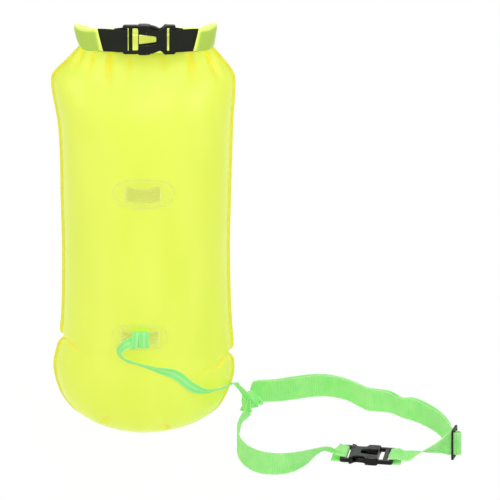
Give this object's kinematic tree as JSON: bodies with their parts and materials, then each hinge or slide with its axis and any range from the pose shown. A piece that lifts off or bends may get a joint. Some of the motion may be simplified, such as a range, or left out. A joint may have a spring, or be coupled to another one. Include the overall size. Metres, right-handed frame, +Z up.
{
  "type": "open water swim buoy",
  "caption": "Inflated swim buoy with a rolled dry-bag mouth, side-release closure, loop patches, back valves, tether and adjustable waist belt laid beside it.",
  "frame": {"origin": "middle of the flat rest face under the lower end of the buoy", "axes": "+Z up along the buoy to its rolled mouth, +X across the buoy towards the belt that lies beside it, -Y out of the front with the two loop patches"},
  "size_m": [0.6149, 0.2858, 0.6753],
  "materials": {
    "body_film": "satin fluorescent yellow film",
    "weld": "pressed weld, a little darker than the film",
    "roll_film": "satin film, several layers rolled together",
    "liner_film": "satin",
    "clear_vinyl": "glossy, slightly see-through",
    "black_plastic": "moulded, semi-gloss",
    "black_webbing": "smooth woven webbing",
    "belt_webbing": "ribbed woven webbing",
    "tether_webbing": "woven webbing"
  },
  "bodies": {
    "buoy": {"back_panel": "body_film", "belt_back_run": "belt_webbing", "belt_buckle_run": "belt_webbing", "belt_female": "black_plastic", "belt_front_run": "belt_webbing", "belt_tail": "belt_webbing", "centre_loop": "clear_vinyl", "centre_patch": "clear_vinyl", "closure_female": "black_plastic", "closure_strap_left": "black_webbing", "closure_strap_right": "black_webbing", "front_panel": "body_film", "inner_liner_back": "liner_film", "inner_liner_front": "liner_film", "lower_loop": "clear_vinyl", "lower_patch": "clear_vinyl", "mouth_band": "black_webbing", "roll_top": "roll_film", "tether_end_loop": "tether_webbing", "tether_hitch": "tether_webbing", "tether_webbing": "tether_webbing", "valve_body_left": "clear_vinyl", "valve_body_right": "clear_vinyl", "valve_flap_left": "clear_vinyl", "valve_flap_right": "clear_vinyl", "valve_leash_left": "clear_vinyl", "valve_leash_right": "clear_vinyl", "weld_seam": "weld"},
    "closure_plug": {"closure_male": "black_plastic"},
    "closure_upper_prong": {"closure_prong_upper": "black_plastic"},
    "closure_lower_prong": {"closure_prong_lower": "black_plastic"},
    "belt_plug": {"belt_male": "black_plastic"},
    "belt_front_prong": {"belt_prong_front": "black_plastic"},
    "belt_back_prong": {"belt_prong_back": "black_plastic"},
    "slider": {"belt_slider": "black_plastic", "belt_turn": "belt_webbing"},
    "left_valve_plug": {"valve_plug_left": "clear_vinyl"},
    "right_valve_plug": {"valve_plug_right": "clear_vinyl"}
  },
  "joints": [
    {"name": "closure_release", "type": "slide", "parent": "buoy", "child": "closure_plug", "axis": [-1, 0, 0], "range_m": [0, 0.024], "deforming": ["closure_strap_left", "closure_prong_upper", "closure_prong_lower"]},
    {"name": "closure_upper_press", "type": "hinge", "parent": "closure_plug", "child": "closure_upper_prong", "pos_m": [-0.00135, -0.025, 0.6649], "axis": [0, 1, 0], "range_deg": [0, 12], "stiffness_Nm_per_rad": 0.5},
    {"name": "closure_lower_press", "type": "hinge", "parent": "closure_plug", "child": "closure_lower_prong", "pos_m": [-0.00135, -0.025, 0.6357], "axis": [0, -1, 0], "range_deg": [0, 12], "stiffness_Nm_per_rad": 0.5},
    {"name": "belt_release", "type": "slide", "parent": "buoy", "child": "belt_plug", "axis": [0.989, -0.1478, 0], "range_m": [0, 0.024], "deforming": ["belt_buckle_run", "belt_prong_front", "belt_prong_back"]},
    {"name": "belt_front_press", "type": "hinge", "parent": "belt_plug", "child": "belt_front_prong", "pos_m": [0.34473, -0.1271, 0.0055], "axis": [0, 0, -1], "range_deg": [0, 12], "stiffness_Nm_per_rad": 0.5},
    {"name": "belt_back_press", "type": "hinge", "parent": "belt_plug", "child": "belt_back_prong", "pos_m": [0.34904, -0.09822, 0.0055], "axis": [0, 0, 1], "range_deg": [0, 12], "stiffness_Nm_per_rad": 0.5},
    {"name": "belt_adjust", "type": "slide", "parent": "buoy", "child": "slider", "axis": [-0.1903, 0.9817, 0], "range_m": [0, 0.025], "deforming": ["belt_back_run", "belt_tail", "belt_buckle_run"]},
    {"name": "left_valve_pull", "type": "slide", "parent": "buoy", "child": "left_valve_plug", "axis": [-0.3072, 0.9457, 0.1061], "range_m": [0, 0.012], "deforming": ["valve_leash_left"]},
    {"name": "right_valve_pull", "type": "slide", "parent": "buoy", "child": "right_valve_plug", "axis": [0.2762, 0.954, 0.117], "range_m": [0, 0.012], "deforming": ["valve_leash_right"]}
  ],
  "couplings": [
    {"joint": "closure_lower_press", "follows": "closure_upper_press", "ratio": 1},
    {"joint": "belt_back_press", "follows": "belt_front_press", "ratio": 1}
  ]
}
